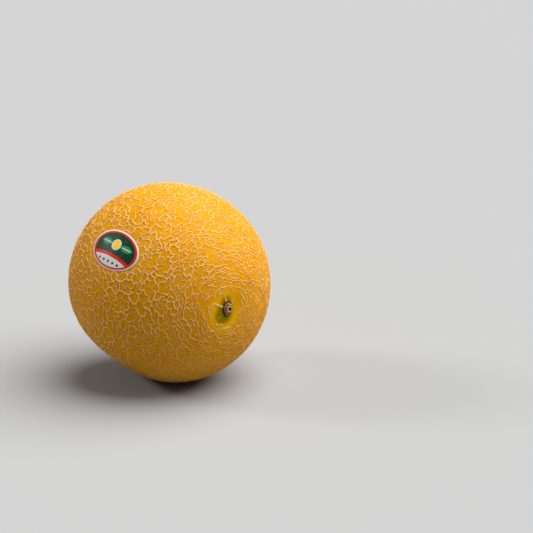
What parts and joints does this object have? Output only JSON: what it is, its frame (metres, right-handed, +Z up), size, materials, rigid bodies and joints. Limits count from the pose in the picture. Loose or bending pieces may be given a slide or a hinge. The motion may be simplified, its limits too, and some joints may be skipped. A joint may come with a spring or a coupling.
{
  "type": "galia melon",
  "caption": "Whole round netted melon lying on its side, with a dry stalk stub at one end and an oval fruit label on its rind.",
  "frame": {"origin": "centre of the bounding box, at the flat spot the fruit rests on", "axes": "+Z up; +Y along the fruit's own axis, from the stalk end to the flower end; the stalk faces -Y"},
  "size_m": [0.145, 0.1482, 0.1428],
  "materials": {
    "rind": "golden yellow rind, slightly glossy, with a matte tan cork net",
    "stem_cork": "dry corky stalk, ringed, dark red-brown at its foot",
    "label_film": "printed semi-gloss label, green and red with a white rim"
  },
  "bodies": {
    "root": {"melon": "rind", "stem_stub": "stem_cork", "label": "label_film"}
  },
  "joints": []
}
